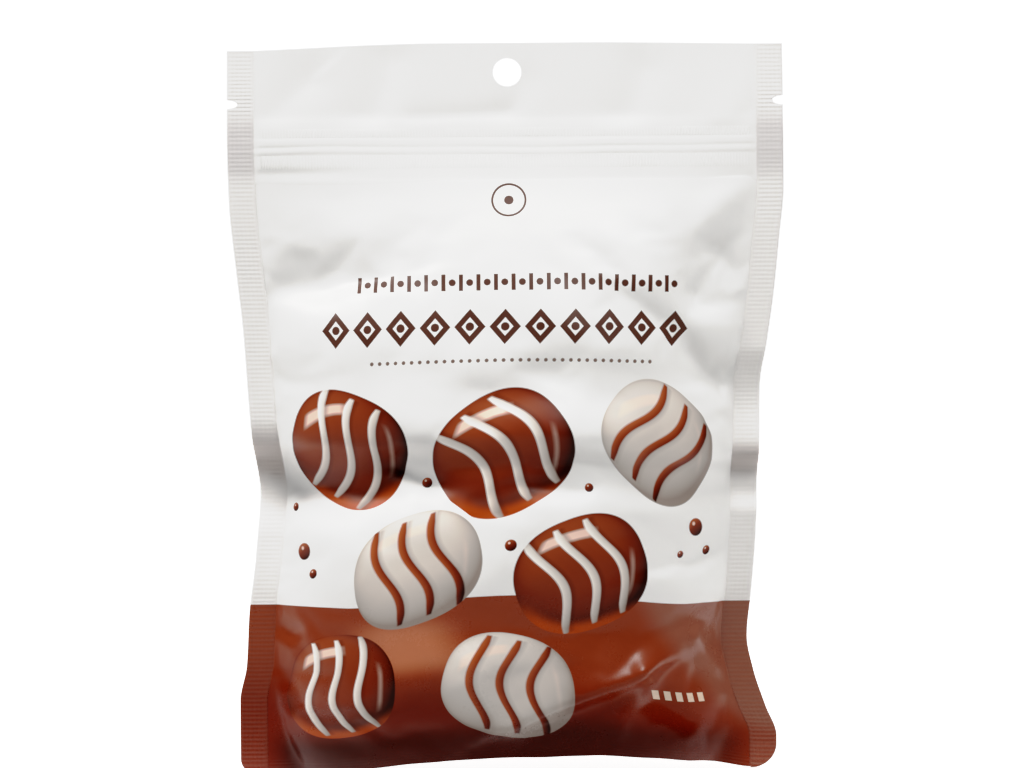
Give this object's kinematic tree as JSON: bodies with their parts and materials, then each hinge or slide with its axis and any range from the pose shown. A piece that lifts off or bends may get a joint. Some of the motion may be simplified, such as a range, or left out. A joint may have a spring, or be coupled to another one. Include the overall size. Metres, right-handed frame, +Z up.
{
  "type": "stand-up pouch",
  "caption": "Filled stand-up film pouch for sweets, sealed at the sides, with a press-to-close strip, a round hang hole, tear notches and a folded-in base.",
  "frame": {"origin": "bottom centre of the bounding box, on the surface the pouch stands on", "axes": "+Z up, the front panel faces -Y, +X to the right seen from the front"},
  "size_m": [0.155, 0.0559, 0.203],
  "materials": {
    "film": "satin white printed film with a chocolate brown lower field"
  },
  "bodies": {
    "root": {"pouch": "film"}
  },
  "joints": []
}
